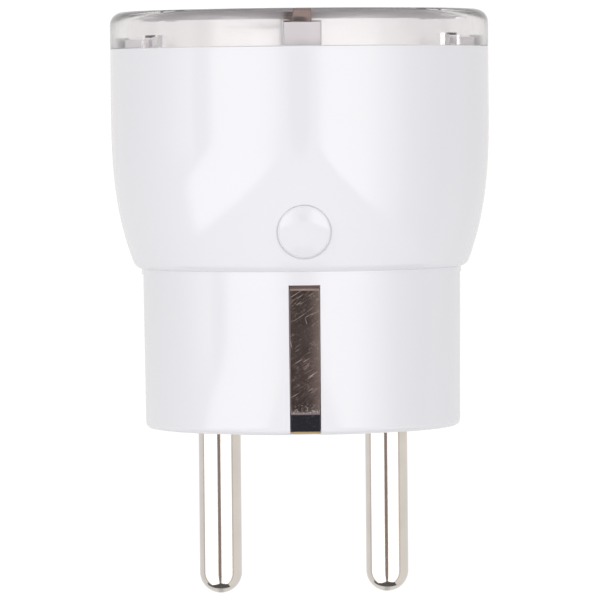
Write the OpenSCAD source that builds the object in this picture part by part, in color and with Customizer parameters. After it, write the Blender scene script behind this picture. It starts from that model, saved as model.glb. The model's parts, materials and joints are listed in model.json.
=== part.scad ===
// Round mains adaptor that plugs in to a wall socket, passes the mains on to the socket
// in its top, and meters and switches it. Millimetres, +Z up, origin at the centre of the
// plug face, the front (button) towards -Y and the two mains pins along X.

/* [Plug] */
// Distance between the centres of the two mains pins
pin_spacing = 19; // [18.9:0.05:19.1]
// Diameter of a mains pin
pin_d = 4.8; // [4.7:0.05:4.85]
// Length of a mains pin below the plug face
pin_len = 19; // [18.5:0.1:19.3]
// Radius of the plug base at the seam
base_r = 18.2; // [18.1:0.05:18.4]
// Height of the seam between the base and the head
seam_z = 18.1; // [18:0.05:18.3]
// Inward lean of the base wall towards the plug face, in degrees
base_lean = 0.5; // [0:0.1:0.8]
// Width of the guide notch in each side of the base
notch_w = 5.4; // [5.2:0.1:5.8]
// Width of the slot that shows an earth strap
strap_slot_w = 3.7; // [3.6:0.05:4]

/* [Head] */
// Radius of the head and of the light ring
head_r = 21.5; // [21.4:0.05:21.8]
// How far the barrel curve draws the head in at the seam
head_taper = 2.7; // [2.4:0.1:2.8]
// Height above which the head is straight
head_straight_z = 37; // [36:0.5:39]
// Exponent of the barrel curve
head_curve = 2.85; // [2.7:0.05:3]
// Radius of the head's lower corner
head_corner_r = 1.2; // [1:0.1:1.3]
// Height of the line between the head and the light ring
ring_z = 43.05; // [42.8:0.05:43.2]
// Height of the clear light ring
ring_h = 4.2; // [4:0.1:4.4]
// Radius of the light ring's top outer edge
ring_edge_r = 1.5; // [1.2:0.1:1.7]

/* [Socket] */
// Diameter of the socket recess
socket_d = 39; // [38.9:0.05:39.1]
// Depth of the socket recess from the top of the light ring
socket_depth = 17.5; // [17.3:0.1:17.6]
// Diameter of the two socket holes
socket_hole_d = 5.4; // [5.3:0.05:5.5]

/* [Button] */
// Diameter of the power button
button_d = 5.9; // [5.6:0.05:6]
// Height of the power button's axis
button_z = 22.6; // [22.4:0.1:22.8]
// Height of the dome on the button
button_dome = 0.5; // [0.3:0.05:0.6]

/* [Walls and sheet] */
// Wall of the head
head_wall = 1.3; // [1.2:0.05:1.4]
// Thickness of the floor of the base
base_floor = 2.2; // [2:0.1:2.3]
// Thickness of the earth straps
strap_t = 0.6; // [0.5:0.05:0.65]
// Thickness of the brass busbars
busbar_t = 0.8; // [0.7:0.05:0.8]
// Thickness of the circuit boards
board_t = 1.2; // [1:0.1:1.2]

/* [Hidden] */
$fn = 96;
eps = 0.01;
pin_r = pin_d / 2;
pin_x = pin_spacing / 2;
top_z = ring_z + ring_h;

// base
seam_gap = 0.1;
base_top_z = seam_z - seam_gap;
base_corner_r = 0.8;
base_inner_r = 16.3;
spigot_r = 16.7;
spigot_inner_r = 15.6;
spigot_top_z = seam_z + 2;
notch_floor_r = 16.5;
notch_top_z = seam_z - 0.6;
notch_wall_r = 15;
pin_fit = 0.05;
pin_relief = 0.2;
pin_relief_h = 0.1;
pin_bore_fit = 0.2;
collar_r = 3.2;
collar_z = 0.6;
boss_top_z = 4;
boss_r = 4.3;
rivet_r = 1.5;
rivet_head_r = 2.2;
rivet_head_t = 0.8;

// head
socket_r = socket_d / 2;
cup_wall_r = socket_r + 0.6;
head_inner_r = socket_r + 0.7;
cup_floor_z = top_z - socket_depth;
cup_floor_t = 1.6;
cup_under_z = cup_floor_z - cup_floor_t;
cup_top_z = ring_z - 0.05;
head_ledge_z = cup_under_z - 0.2;
led_channel_r = socket_r + 1.4;
led_channel_z = ring_z - 1.65;
ring_inner_r = socket_r + 0.1;
ring_notch_r = socket_r + 1.35;
tab_inner_r = ring_inner_r + 0.05;
tab_outer_r = cup_wall_r - 0.05;
curve_steps = 18;
arc_steps = 6;

// windows of the light ring: angles from the front or the rear, and heights
window_spans = [[57, 77], [49, 55]];
window_heights = [1.15, 1.4];
tab_gap = 0.15;
tab_gap_angle = 0.6;
clip_wall_angle = 5.6;
clip_notch_w = 4.3;
clip_notch_h = 2.8;

// boards
board_r = 15.3;
board_flat_x = 14.7;
board_z = 7.6;
board_top_z = board_z + board_t;
board_screw_y = 12.3;
board_post_r = 2.5;
screw_pilot_r = 0.9;
radio_board_y = 12.7;
radio_board_t = 1;
radio_board_half_w = 7;
radio_board_top_z = 26.4;
header_pin_w = 0.6;
header_pin_x = [3.8, 5, 6.2];
header_y = -12.2;

// earth straps, as distance from the axis and height
strap_w = 3.3;
groove_r = 17.4;
groove_top_z = 16.7;
groove_foot_r = 16.4;
groove_foot_z = 2.7;
clip_tip_w = 2;
strap_link_z = 16.85;
strap_riser_u = 11.5;
strap_over_z = 27.5;
clip_u = 18.95;
clip_top_z = 47;
clip_bulge = [16.4, 38.5];
strap_path = [
    [16.8, 0.4], [17.75, 2.4], [17.75, 16.2], [17.1, strap_link_z],
    [strap_riser_u + 0.5, strap_link_z], [strap_riser_u, strap_link_z + 0.5],
    [strap_riser_u, strap_over_z - 0.5], [strap_riser_u + 0.5, strap_over_z],
    [clip_u - 0.5, strap_over_z], [clip_u, strap_over_z + 0.5],
    [clip_u, 31], clip_bulge + [0.3, -2], clip_bulge, clip_bulge + [0.3, 2],
    [clip_u + 0.15, 44.6], [clip_u, clip_top_z]
];

// relay
relay_w = 10.2;
relay_l = 18.4;
relay_top_z = 23.2;
relay_base_t = 1.6;
relay_wall = 0.6;
relay_base_z = board_top_z + relay_base_t;
coil_y = 2.6;
core_r = 1.5;
core_top_z = 20.95;
yoke_top_z = 20.6;
iron_w = 7;
armature_z = 21.4;
armature_t = 0.8;
hinge_y = 7.9;
hinge_z = 21.05;
hinge_bead_r = 0.4;
contact_y = -6.6;
contact_r = 1.1;
contact_w = 3;

// button and its switch
button_flange_r = 3.6;
button_flange_y = -18.55;
button_flange_t = 0.6;
button_stem_r = 1.5;
button_stem_y = -17.3;
button_fit = 0.1;
pocket_r = 4;
pocket_y = -18.6;
switch_y = -16.4;
switch_w = 6;
plunger_r = 1.7;
plunger_y = -17.25;

// shutter
shutter_z = 25.8;
shutter_t = 1.8;
shutter_r = 12.6;
shutter_half_w = 2.9;
pivot_r = 1.5;
retainer_z = 24.6;
retainer_t = 0.9;
retainer_screw_y = 8.4;
spring_x = 3.5;
spring_end_y = 7.5;

// ---- curves ----

// radius of the head's outer surface at a height
function head_outer_r(z) =
    head_r - head_taper * pow(max(0, head_straight_z - z) / (head_straight_z - seam_z), head_curve);

// lean of the head's outer surface at a height, in degrees
function head_lean(z) = atan((head_outer_r(z + eps) - head_outer_r(z - eps)) / (2 * eps));

// points of an arc about c, from angle a to angle b
function arc(c, r, a, b, steps) =
    [for (i = [0:steps]) let (t = a + (b - a) * i / steps) c + r * [cos(t), sin(t)]];

// unit normal to the left of the line from p to q
function left_normal(p, q) = let (d = (q - p) / norm(q - p)) [-d[1], d[0]];

// mitred normal of a path at its point i
function mitre(path, i) =
    let (
        last = len(path) - 1,
        a = i == 0 ? left_normal(path[0], path[1]) : left_normal(path[i - 1], path[i]),
        b = i == last ? a : left_normal(path[i], path[i + 1]),
        m = a + b
    ) m * 2 / (m * m);

// closed outline of a sheet of thickness t that follows a path
function strip_outline(path, t) = concat(
    [for (i = [0:len(path) - 1]) path[i] + mitre(path, i) * t / 2],
    [for (i = [len(path) - 1:-1:0]) path[i] - mitre(path, i) * t / 2]
);

// outline of the barrel head from its lower corner up to the light ring
lean = head_lean(seam_z + 0.8);
corner_z = seam_z + head_corner_r;
tangent_z = corner_z - head_corner_r * sin(lean);
corner_x = head_outer_r(tangent_z) - head_corner_r * cos(lean);
head_outline = concat(
    arc([corner_x, corner_z], head_corner_r, -90, -lean, arc_steps),
    [for (i = [1:curve_steps])
        let (z = tangent_z + (head_straight_z - tangent_z) * i / curve_steps)
        [head_outer_r(z), z]]
);

// ---- shared shapes ----

// sheet metal part whose side view is a path in the Y-Z plane
module strip_yz(path, t, w) {
    rotate([90, 0, 90])
        linear_extrude(w, center = true)
            polygon(strip_outline(path, t));
}

// sheet metal part whose side view is a path in the X-Z plane
module strip_xz(path, t, w) {
    rotate([90, 0, 0])
        linear_extrude(w, center = true)
            polygon(strip_outline(path, t));
}

// box centred in x and y, from height z0 to z1
module block(w, d, z0, z1, x = 0, y = 0) {
    translate([x - w / 2, y - d / 2, z0])
        cube([w, d, z1 - z0]);
}

// upright cylinder from height z0 to z1
module post(r, z0, z1, x = 0, y = 0) {
    translate([x, y, z0])
        cylinder(h = z1 - z0, r = r);
}

// cylinder along Y from y0 to y1 at height z
module rod_y(r, y0, y1, z, x = 0) {
    translate([x, y0, z])
        rotate([-90, 0, 0])
            cylinder(h = y1 - y0, r = r);
}

// ring sector between two radii, two heights and two angles from the front
module sector(r0, r1, z0, z1, a0, a1) {
    rotate([0, 0, a0 - 90])
        translate([0, 0, z0])
            rotate_extrude(angle = a1 - a0)
                translate([r0, 0])
                    square([r1 - r0, z1 - z0]);
}

// a ring feature on both sides of the front and of the rear
module at_windows() {
    for (rear = [0, 180], side = [0, 1])
        rotate([0, 0, rear])
            mirror([side, 0, 0])
                children();
}

// ---- shells ----

module base_shell() {
    base_foot_r = base_r - base_top_z * tan(base_lean);
    outline = concat(
        [[0, 0]],
        arc([base_foot_r - base_corner_r, base_corner_r], base_corner_r, -90, -base_lean, arc_steps),
        [
            [base_r, base_top_z], [spigot_r, base_top_z], [spigot_r, spigot_top_z],
            [spigot_inner_r, spigot_top_z], [spigot_inner_r, seam_z - 2.4],
            [base_inner_r, seam_z - 3.1], [base_inner_r, base_floor], [0, base_floor]
        ]
    );
    color("white")
    difference() {
        union() {
            rotate_extrude()
                polygon(outline);
            for (s = [-1, 1]) {
                // wall behind the guide notch
                block(base_inner_r - notch_wall_r + 0.4, notch_w + 3, eps, base_top_z,
                    s * (base_inner_r + notch_wall_r + 0.4) / 2);
                // boss around the pin's collar
                post(boss_r, base_floor - eps, boss_top_z, s * pin_x);
                // post under the main board
                post(board_post_r, base_floor - eps, board_z, 0, s * board_screw_y);
            }
        }
        for (s = [-1, 1]) {
            // guide notch
            block(4, notch_w, -1, notch_top_z, s * (notch_floor_r + 2));
            // bore and collar seat of the pin
            post(pin_r + pin_bore_fit, -1, collar_z + eps, s * pin_x);
            post(collar_r + pin_fit, collar_z, boss_top_z + 1, s * pin_x);
            // pilot hole of the board screw
            post(screw_pilot_r, base_floor + 1, board_z + 1, 0, s * board_screw_y);
            // groove of the earth strap, open below, its deeper foot and the slot that lets it in
            block(strap_slot_w, 3, -1, groove_top_z, 0, s * (groove_r + 1.5));
            block(strap_slot_w, 3, -1, groove_foot_z, 0, s * (groove_foot_r + 1.5));
            block(strap_slot_w, 6, groove_top_z - 0.4, groove_top_z + 0.65, 0, s * 16.9);
        }
        // room for the button's switch
        block(8, 5, seam_z + 0.4, spigot_top_z + 1, 0, -15.5);
    }
}

module head_shell() {
    lip_top_z = spigot_top_z + 0.15;
    inner_steps = 8;
    inner_curve = [for (i = [0:inner_steps])
        let (z = head_ledge_z + (lip_top_z - head_ledge_z) * i / inner_steps)
        [head_outer_r(z) - head_wall, z]];
    outline = concat(
        [[spigot_r + 0.1, seam_z]],
        head_outline,
        [
            [head_r, ring_z], [led_channel_r, ring_z], [led_channel_r, led_channel_z],
            [head_inner_r, led_channel_z], [head_inner_r, head_ledge_z]
        ],
        inner_curve,
        [[spigot_r + 0.1, lip_top_z]]
    );
    color("white")
    difference() {
        rotate_extrude()
            polygon(outline);
        // bore of the button and the pocket behind it
        rod_y(button_d / 2 + button_fit, -22, -17, button_z);
        rod_y(pocket_r, pocket_y, -15, button_z);
    }
}

module light_ring() {
    outline = concat(
        [[ring_inner_r, ring_z], [head_r, ring_z]],
        arc([head_r - ring_edge_r, top_z - ring_edge_r], ring_edge_r, 0, 90, 8),
        [[ring_inner_r + 0.3, top_z], [ring_inner_r, top_z - 0.3]]
    );
    color([0.86, 0.88, 0.9, 0.5])
    difference() {
        rotate_extrude()
            polygon(outline);
        for (k = [0, 1])
            at_windows()
                sector(socket_r - 1, ring_notch_r, ring_z - 1, ring_z + window_heights[k],
                    window_spans[k][0], window_spans[k][1]);
        for (s = [-1, 1])
            block(clip_notch_w, 4, ring_z - 1, ring_z + clip_notch_h, 0, s * (socket_r - 0.8));
    }
}

module socket_cup() {
    rib_inner_r = 17;
    rib_w = 4.8;
    color("whitesmoke")
    difference() {
        union() {
            difference() {
                post(cup_wall_r, cup_under_z, cup_top_z);
                post(socket_r, cup_floor_z, ring_z + 1);
            }
            // guide ribs that enter the notches of a plug
            for (s = [-1, 1])
                block(socket_r + 0.3 - rib_inner_r, rib_w, cup_floor_z - 0.5, cup_top_z - 0.3,
                    s * (socket_r + 0.3 + rib_inner_r) / 2);
            // tabs that locate the light ring
            for (k = [0, 1])
                at_windows()
                    sector(tab_inner_r, tab_outer_r, ring_z - 1, ring_z + window_heights[k] - tab_gap,
                        window_spans[k][0] + tab_gap_angle, window_spans[k][1] - tab_gap_angle);
            // raised wall behind each earth clip
            for (s = [0, 180])
                rotate([0, 0, s])
                    sector(tab_inner_r, tab_outer_r, ring_z - 1, ring_z + clip_notch_h - 0.2,
                        -clip_wall_angle, clip_wall_angle);
            // posts that hold the shutter's retainer, and the shutter's pivot
            for (s = [-1, 1])
                post(2, retainer_z + retainer_t, cup_under_z + 0.4, 0, s * retainer_screw_y);
            post(pivot_r, retainer_z + 0.2, cup_under_z + 0.4);
        }
        for (s = [-1, 1]) {
            post(socket_hole_d / 2, cup_under_z - 1, cup_floor_z + 1, s * pin_x);
            block(strap_w + 0.5, 0.95, cup_under_z - 1, cup_floor_z + 1, 0, s * (clip_u - 0.075));
            post(0.75, retainer_z, cup_under_z - 0.4, 0, s * retainer_screw_y);
        }
    }
}

// ---- button and its switch ----

module power_button() {
    surface_y = head_outer_r(button_z);
    tilt = head_lean(button_z);
    dome_r = (pow(button_d / 2, 2) + pow(button_dome, 2)) / (2 * button_dome);
    depth = dome_r - button_dome;
    color("white")
    union() {
        intersection() {
            rod_y(button_d / 2, -surface_y - 2, button_flange_y + 0.05, button_z);
            translate([0, -surface_y + depth * cos(tilt), button_z + depth * sin(tilt)])
                sphere(r = dome_r, $fn = 180);
        }
        rod_y(button_flange_r, button_flange_y, button_flange_y + button_flange_t, button_z);
        rod_y(button_stem_r, button_flange_y + 0.3, button_stem_y, button_z);
    }
}

module tact_switch_body() {
    color("dimgray")
    difference() {
        translate([-switch_w / 2, switch_y, button_z - switch_w / 2])
            cube([switch_w, -radio_board_y - radio_board_t - switch_y, switch_w]);
        rod_y(plunger_r + 0.1, switch_y - 0.1, switch_y + 1.4, button_z);
    }
}

module tact_switch_plunger() {
    color("black")
        rod_y(plunger_r, plunger_y, switch_y + 0.8, button_z);
}

// ---- mains pins, busbars and contacts ----

module mains_pin(side) {
    color("lightgray")
    union() {
        post(pin_r, -pin_len + pin_r, -pin_relief_h, side * pin_x);
        post(pin_r - pin_relief, -pin_relief_h - eps, collar_z + eps, side * pin_x);
        translate([side * pin_x, 0, -pin_len + pin_r])
            sphere(r = pin_r);
        post(collar_r, collar_z, boss_top_z, side * pin_x);
        post(rivet_r, boss_top_z - eps, boss_top_z + busbar_t + rivet_head_t, side * pin_x);
        post(rivet_head_r, boss_top_z + busbar_t, boss_top_z + busbar_t + rivet_head_t, side * pin_x);
    }
}

module line_pin() { mains_pin(-1); }

module neutral_pin() { mains_pin(1); }

// flat bar on the pin's rivet, with a tab that is soldered into the board
module busbar(side) {
    tab_y = 5.9;
    color("goldenrod")
    difference() {
        union() {
            block(7.6, 7, boss_top_z, boss_top_z + busbar_t, side * pin_x);
            block(3, tab_y + busbar_t / 2, boss_top_z, boss_top_z + busbar_t,
                side * pin_x, side * (tab_y + busbar_t / 2) / 2);
            block(3, busbar_t, boss_top_z, board_top_z, side * pin_x, side * tab_y);
        }
        post(rivet_r + pin_fit, boss_top_z - 1, boss_top_z + 3, side * pin_x);
    }
}

module line_busbar() { busbar(-1); }

module neutral_busbar() { busbar(1); }

// two sprung jaws that grip a pin, on a foot soldered into the board
module jaw_contact(side) {
    t = 0.6;
    foot_z = 9.9;
    half_gap = 3;
    pinch = 2.5;
    path = [
        [-3.3, 24.1], [-pinch, 21.6], [-half_gap, 17.5], [-half_gap, foot_z + 0.6],
        [-half_gap + 0.6, foot_z], [half_gap - 0.6, foot_z], [half_gap, foot_z + 0.6],
        [half_gap, 17.5], [pinch, 21.6], [3.3, 24.1]
    ];
    color("gold")
    translate([side * pin_x, 0, 0])
        union() {
            strip_xz(path, t, 5);
            block(t, 2.4, board_z - 0.4, foot_z);
        }
}

module line_contact() { jaw_contact(-1); }

module neutral_contact() { jaw_contact(1); }

// ---- earth path ----

// one stamped strap: side contact of the plug, riser, and clip in the socket
module earth_strap() {
    color("silver")
    difference() {
        strip_yz(strap_path, strap_t, strap_w);
        for (s = [-1, 1])
            block(4, 4, 43.6, 48, s * (clip_tip_w / 2 + 2), clip_u);
    }
}

module earth_strap_front() { mirror([0, 1, 0]) earth_strap(); }

module earth_strap_rear() { earth_strap(); }

// half ring that joins the two straps
module earth_link() {
    color("silver")
        sector(14.2, 16.2, strap_over_z - strap_t / 2 - 0.6, strap_over_z - strap_t / 2, -190, 8);
}

// ---- shutter ----

module shutter() {
    color("white")
    translate([0, 0, shutter_z])
        linear_extrude(shutter_t)
            difference() {
                union() {
                    intersection() {
                        circle(r = shutter_r);
                        square([2 * shutter_r + 2, 2 * shutter_half_w], center = true);
                    }
                    circle(r = 3.4);
                }
                circle(r = pivot_r + 0.06);
            }
}

// compression spring that turns the shutter back over the holes
module shutter_spring() {
    coil_r = 0.65;
    wire_r = 0.14;
    turns = 5;
    rings_per_turn = 12;
    sides = 6;
    start_y = shutter_half_w + 0.2;
    len_y = spring_end_y - start_y - 0.2;
    rings = turns * rings_per_turn;
    pitch_tilt = atan(len_y / (turns * 2 * PI * coil_r));
    function ring_point(i, j) =
        let (
            a = 360 * i / rings_per_turn,
            b = 360 * j / sides,
            radial = [cos(a), 0, sin(a)],
            tangent = [-sin(a) * cos(pitch_tilt), sin(pitch_tilt), cos(a) * cos(pitch_tilt)],
            binormal = cross(tangent, radial)
        )
        [0, len_y * i / rings, 0] + coil_r * radial + wire_r * (cos(b) * radial + sin(b) * binormal);
    points = [for (i = [0:rings], j = [0:sides - 1]) ring_point(i, j)];
    walls = [for (i = [0:rings - 1], j = [0:sides - 1])
        let (k = (j + 1) % sides)
        [i * sides + j, i * sides + k, (i + 1) * sides + k, (i + 1) * sides + j]];
    caps = [
        [for (j = [sides - 1:-1:0]) j],
        [for (j = [0:sides - 1]) rings * sides + j]
    ];
    color("silver")
    translate([spring_x, start_y + 0.1, shutter_z + shutter_t / 2])
        polyhedron(points, concat(walls, caps));
}

module shutter_retainer() {
    color("whitesmoke")
    difference() {
        union() {
            translate([0, 0, retainer_z])
                linear_extrude(retainer_t)
                    intersection() {
                        circle(r = 13.4);
                        square([28, 20.4], center = true);
                    }
            // lug behind the spring
            block(2, 1.1, retainer_z, shutter_z + shutter_t, spring_x, spring_end_y + 0.55);
        }
        for (s = [-1, 1]) {
            post(2.9, retainer_z - 1, retainer_z + 2, s * pin_x);
            post(0.85, retainer_z - 1, retainer_z + 2, 0, s * retainer_screw_y);
        }
        post(pivot_r + 0.06, retainer_z - 1, retainer_z + 2);
    }
}

// pan-head screw with a cross recess, head up or down
module screw(shank_r, head_r1, head_t, length) {
    difference() {
        union() {
            post(shank_r, -length, eps);
            post(head_r1, 0, head_t);
        }
        for (a = [0, 90])
            rotate([0, 0, a])
                block(head_r1 * 1.2, head_t * 0.35, head_t * 0.5, head_t + 1);
    }
}

module retainer_screws() {
    color("silver")
    for (s = [-1, 1])
        translate([0, s * retainer_screw_y, retainer_z])
            mirror([0, 0, 1])
                screw(0.7, 1.5, 0.85, 2.9);
}

// ---- main board and what stands on it ----

module main_board() {
    color("darkgreen")
    difference() {
        intersection() {
            post(board_r, board_z, board_top_z);
            block(2 * board_flat_x, 40, board_z, board_top_z);
        }
        for (s = [-1, 1]) {
            post(1.1, board_z - 1, board_top_z + 1, 0, s * board_screw_y);
            block(3.2, 1, board_z - 1, board_top_z + 1, s * pin_x, s * 5.9);
            block(0.8, 2.6, board_z - 1, board_top_z + 1, s * pin_x);
        }
        for (x = header_pin_x)
            block(header_pin_w + 0.1, header_pin_w + 0.1, board_z - 1, board_top_z + 1, x, header_y);
    }
}

module board_screws() {
    color("silver")
    for (s = [-1, 1])
        translate([0, s * board_screw_y, board_top_z])
            screw(0.85, 1.9, 1.2, 5);
}

module board_header() {
    color("gold")
    for (x = header_pin_x)
        block(header_pin_w, header_pin_w, board_z - 0.8, board_top_z + 1.6, x, header_y);
}

module radio_board() {
    color("seagreen")
    difference() {
        translate([-radio_board_half_w, -radio_board_y - radio_board_t, board_top_z])
            cube([2 * radio_board_half_w, radio_board_t, radio_board_top_z - board_top_z]);
        // gap for the earth strap and the board screw
        block(6, 4, board_top_z - 1, 18.9, 0, -radio_board_y);
    }
}

module radio_shield() {
    color("silver")
        translate([2.4, -radio_board_y, 20])
            cube([4.4, 1.3, 5.4]);
}

// wire aerial that starts at the radio board's edge and runs round the back
module antenna_wire() {
    start = [radio_board_half_w + 0.25, -radio_board_y - 0.5];
    color("dimgray")
    rotate([0, 0, atan2(start[1], start[0])])
        translate([0, 0, 25.3])
            rotate_extrude(angle = 235)
                translate([norm(start), 0])
                    circle(r = 0.4, $fn = 24);
}

module relay_base() {
    color("navy")
        block(relay_w, relay_l, board_top_z, relay_base_z);
}

module relay_cover() {
    color("royalblue")
    difference() {
        block(relay_w, relay_l, relay_base_z, relay_top_z);
        block(relay_w - 2 * relay_wall, relay_l - 2 * relay_wall, relay_base_z - 1, relay_top_z - relay_wall);
    }
}

module relay_coil() {
    color("chocolate")
    difference() {
        union() {
            post(4.2, 11.6, 12.3, 0, coil_y);
            post(3.8, 12.2, 20.1, 0, coil_y);
            post(4.2, 20, 20.7, 0, coil_y);
        }
        post(core_r + 0.05, 11, 22, 0, coil_y);
    }
}

module relay_yoke() {
    color("gray")
    union() {
        block(iron_w, 7.4, relay_base_z, relay_base_z + 1, 0, 4.7);
        block(iron_w, 1, relay_base_z, yoke_top_z, 0, hinge_y);
        post(core_r, relay_base_z + 0.5, core_top_z, 0, coil_y);
    }
}

module relay_armature() {
    color("gray")
    union() {
        block(iron_w, hinge_y + 1.5, armature_z, armature_z + armature_t, 0, (hinge_y - 0.5) / 2);
        block(iron_w, 2 * hinge_bead_r, hinge_z, armature_z + eps, 0, hinge_y);
        // rounded edge that rocks on the yoke
        translate([-iron_w / 2, hinge_y, hinge_z])
            rotate([0, 90, 0])
                cylinder(h = iron_w, r = hinge_bead_r);
    }
}

module relay_moving_contact() {
    color("goldenrod")
    union() {
        block(contact_w, 11.6, armature_z + armature_t, armature_z + armature_t + 0.2, 0, -1.8);
        post(contact_r, armature_z - 0.2, armature_z + armature_t + eps, 0, contact_y);
    }
}

module relay_fixed_contact() {
    color("goldenrod")
    union() {
        block(contact_w, 0.6, relay_base_z, 19.5, 0, contact_y - 1.4);
        block(contact_w, 2.9, 18.9, 19.5, 0, contact_y - 0.25);
        post(contact_r, 19.4, 20.2, 0, contact_y);
    }
}

module smoothing_capacitor() {
    color("midnightblue")
        post(3.15, board_top_z, 16.9, -8.6, 8.2);
}

module suppression_capacitor() {
    color("gold")
        block(4.4, 6.2, board_top_z, 16.2, 8.45, 7.45);
}

module varistor() {
    color("dodgerblue")
        translate([6.8, -7.4, 12.7])
            rotate([0, 90, 0])
                cylinder(h = 3, r = 3.6);
}

module fuse_resistor() {
    color("tan")
        post(1.5, board_top_z, 16.4, -7, -10.4);
}

module choke() {
    color("saddlebrown")
    union() {
        post(2.6, board_top_z, 9.8, -10.3, -6.2);
        post(2, 9.7, 14.1, -10.3, -6.2);
        post(2.6, 14, 15, -10.3, -6.2);
    }
}

module shunt() {
    color("peru")
        block(6, 2.6, board_z - 0.8, board_z, 9.3, -9.2);
}

module rectifier() {
    color("black")
        block(5, 4, board_z - 1.6, board_z, 0, 5);
}

module metering_chip() {
    color("black")
        block(5, 4, board_z - 1.2, board_z, 0, -5);
}

// ---- light of the ring ----

module led_flex() {
    color("white")
    difference() {
        post(led_channel_r - 0.05, led_channel_z, led_channel_z + 0.2);
        post(head_inner_r, led_channel_z - 1, led_channel_z + 1);
    }
}

module leds() {
    count = 12;
    color("lightyellow")
    for (i = [0:count - 1])
        sector(head_inner_r + 0.05, led_channel_r - 0.1, led_channel_z + 0.2, led_channel_z + 0.8,
            360 * i / count + 12.8, 360 * i / count + 17.2);
}

base_shell();
head_shell();
light_ring();
socket_cup();
power_button();
tact_switch_body();
tact_switch_plunger();
line_pin();
neutral_pin();
earth_strap_front();
earth_strap_rear();
earth_link();
line_contact();
neutral_contact();
line_busbar();
neutral_busbar();
shutter();
shutter_spring();
shutter_retainer();
retainer_screws();
main_board();
board_screws();
relay_base();
relay_cover();
relay_coil();
relay_yoke();
relay_armature();
relay_moving_contact();
relay_fixed_contact();
smoothing_capacitor();
suppression_capacitor();
varistor();
fuse_resistor();
choke();
shunt();
rectifier();
metering_chip();
radio_board();
radio_shield();
board_header();
antenna_wire();
led_flex();
leds();
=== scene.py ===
"""Looks of the plug-in power meter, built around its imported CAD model. Lengths are in millimetres until a mesh is made."""

import json
import math

import bmesh
import bpy
from mathutils import Matrix, Vector

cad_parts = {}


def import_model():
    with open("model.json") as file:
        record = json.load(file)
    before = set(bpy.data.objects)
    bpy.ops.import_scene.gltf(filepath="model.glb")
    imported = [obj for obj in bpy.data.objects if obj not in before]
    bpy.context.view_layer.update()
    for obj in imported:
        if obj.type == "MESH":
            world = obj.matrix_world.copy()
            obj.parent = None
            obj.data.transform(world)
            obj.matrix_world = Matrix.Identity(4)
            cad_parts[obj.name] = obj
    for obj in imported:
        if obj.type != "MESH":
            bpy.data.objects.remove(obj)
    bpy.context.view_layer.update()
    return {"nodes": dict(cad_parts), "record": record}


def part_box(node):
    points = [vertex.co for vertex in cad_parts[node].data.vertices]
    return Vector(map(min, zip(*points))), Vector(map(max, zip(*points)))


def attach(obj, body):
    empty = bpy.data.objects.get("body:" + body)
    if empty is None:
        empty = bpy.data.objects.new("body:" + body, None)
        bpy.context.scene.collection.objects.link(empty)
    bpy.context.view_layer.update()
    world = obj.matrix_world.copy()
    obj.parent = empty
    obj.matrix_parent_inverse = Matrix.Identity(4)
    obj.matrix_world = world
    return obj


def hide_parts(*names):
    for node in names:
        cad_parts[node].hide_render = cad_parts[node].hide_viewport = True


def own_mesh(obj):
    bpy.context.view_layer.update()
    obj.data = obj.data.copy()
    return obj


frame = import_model()

MM = 0.001
SEGMENTS = 384
SHARP = math.radians(32)


# ---------------------------------------------------------------- sizes from the frame

def box_mm(node):
    """Lowest and highest corner of a CAD node, in millimetres."""
    low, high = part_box(node)
    return low / MM, high / MM


base_lo, base_hi = box_mm("base_shell")
head_lo, head_hi = box_mm("head_shell")
ring_lo, ring_hi = box_mm("light_ring")
cup_lo, cup_hi = box_mm("socket_cup")
pin_lo, pin_hi = box_mm("line_pin")
button_lo, button_hi = box_mm("power_button")

SEAM_Z = head_lo.z
RING_Z = ring_lo.z
TOP_Z = ring_hi.z
TIP_Z = pin_lo.z
HEAD_R = ring_hi.x
BASE_R = base_hi.x
PIN_X = -(pin_lo.x + pin_hi.x) / 2
PIN_R = 2.4
BUTTON_Z = (button_lo.z + button_hi.z) / 2
BUTTON_R = 2.95

# the socket recess, 17.5 mm deep and 39 mm across
SOCKET_R = 19.5
CUP_FLOOR_Z = TOP_Z - 17.5
CUP_UNDER_Z = CUP_FLOOR_Z - 1.6
CUP_R = SOCKET_R + 0.6

# the barrel curve of the head
HEAD_TAPER = 2.7
HEAD_STRAIGHT_Z = 37
HEAD_CURVE = 2.85
HEAD_CORNER_R = 1.2
HEAD_WALL = 1.1


def head_r(z):
    """Radius of the head's outer surface at height z."""
    fall = max(0, HEAD_STRAIGHT_Z - z) / (HEAD_STRAIGHT_Z - SEAM_Z)
    return HEAD_R - HEAD_TAPER * fall**HEAD_CURVE


def head_lean(z):
    """Lean of the head's outer surface at height z, as an angle."""
    step = 0.01
    return math.atan((head_r(z + step) - head_r(z - step)) / (2 * step))


# ---------------------------------------------------------------- outlines

def arc(centre, radius, start, end, steps):
    """Points of an arc in a plane, with angles in degrees."""
    angles = (math.radians(start + (end - start) * i / steps) for i in range(steps + 1))
    return [(centre[0] + radius * math.cos(a), centre[1] + radius * math.sin(a)) for a in angles]


def rounded(corners, steps=5, closed=True):
    """Path through corners (a, b, radius), each corner turned into an arc of its radius."""
    path = []
    for i, (a, b, radius) in enumerate(corners):
        point = Vector((a, b))
        if radius == 0 or (not closed and i in (0, len(corners) - 1)):
            path.append((a, b))
            continue
        before = (Vector(corners[i - 1][:2]) - point).normalized()
        after = (Vector(corners[(i + 1) % len(corners)][:2]) - point).normalized()
        half = before.angle(after) / 2
        centre = point + (before + after).normalized() * radius / math.sin(half)
        start = point + before * radius / math.tan(half) - centre
        turn = start.angle_signed(point + after * radius / math.tan(half) - centre)
        for k in range(steps + 1):
            spoke = start.copy()
            spoke.rotate(Matrix.Rotation(-turn * k / steps, 2))
            path.append(tuple(centre + spoke))
    return path


# ---------------------------------------------------------------- meshes

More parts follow.
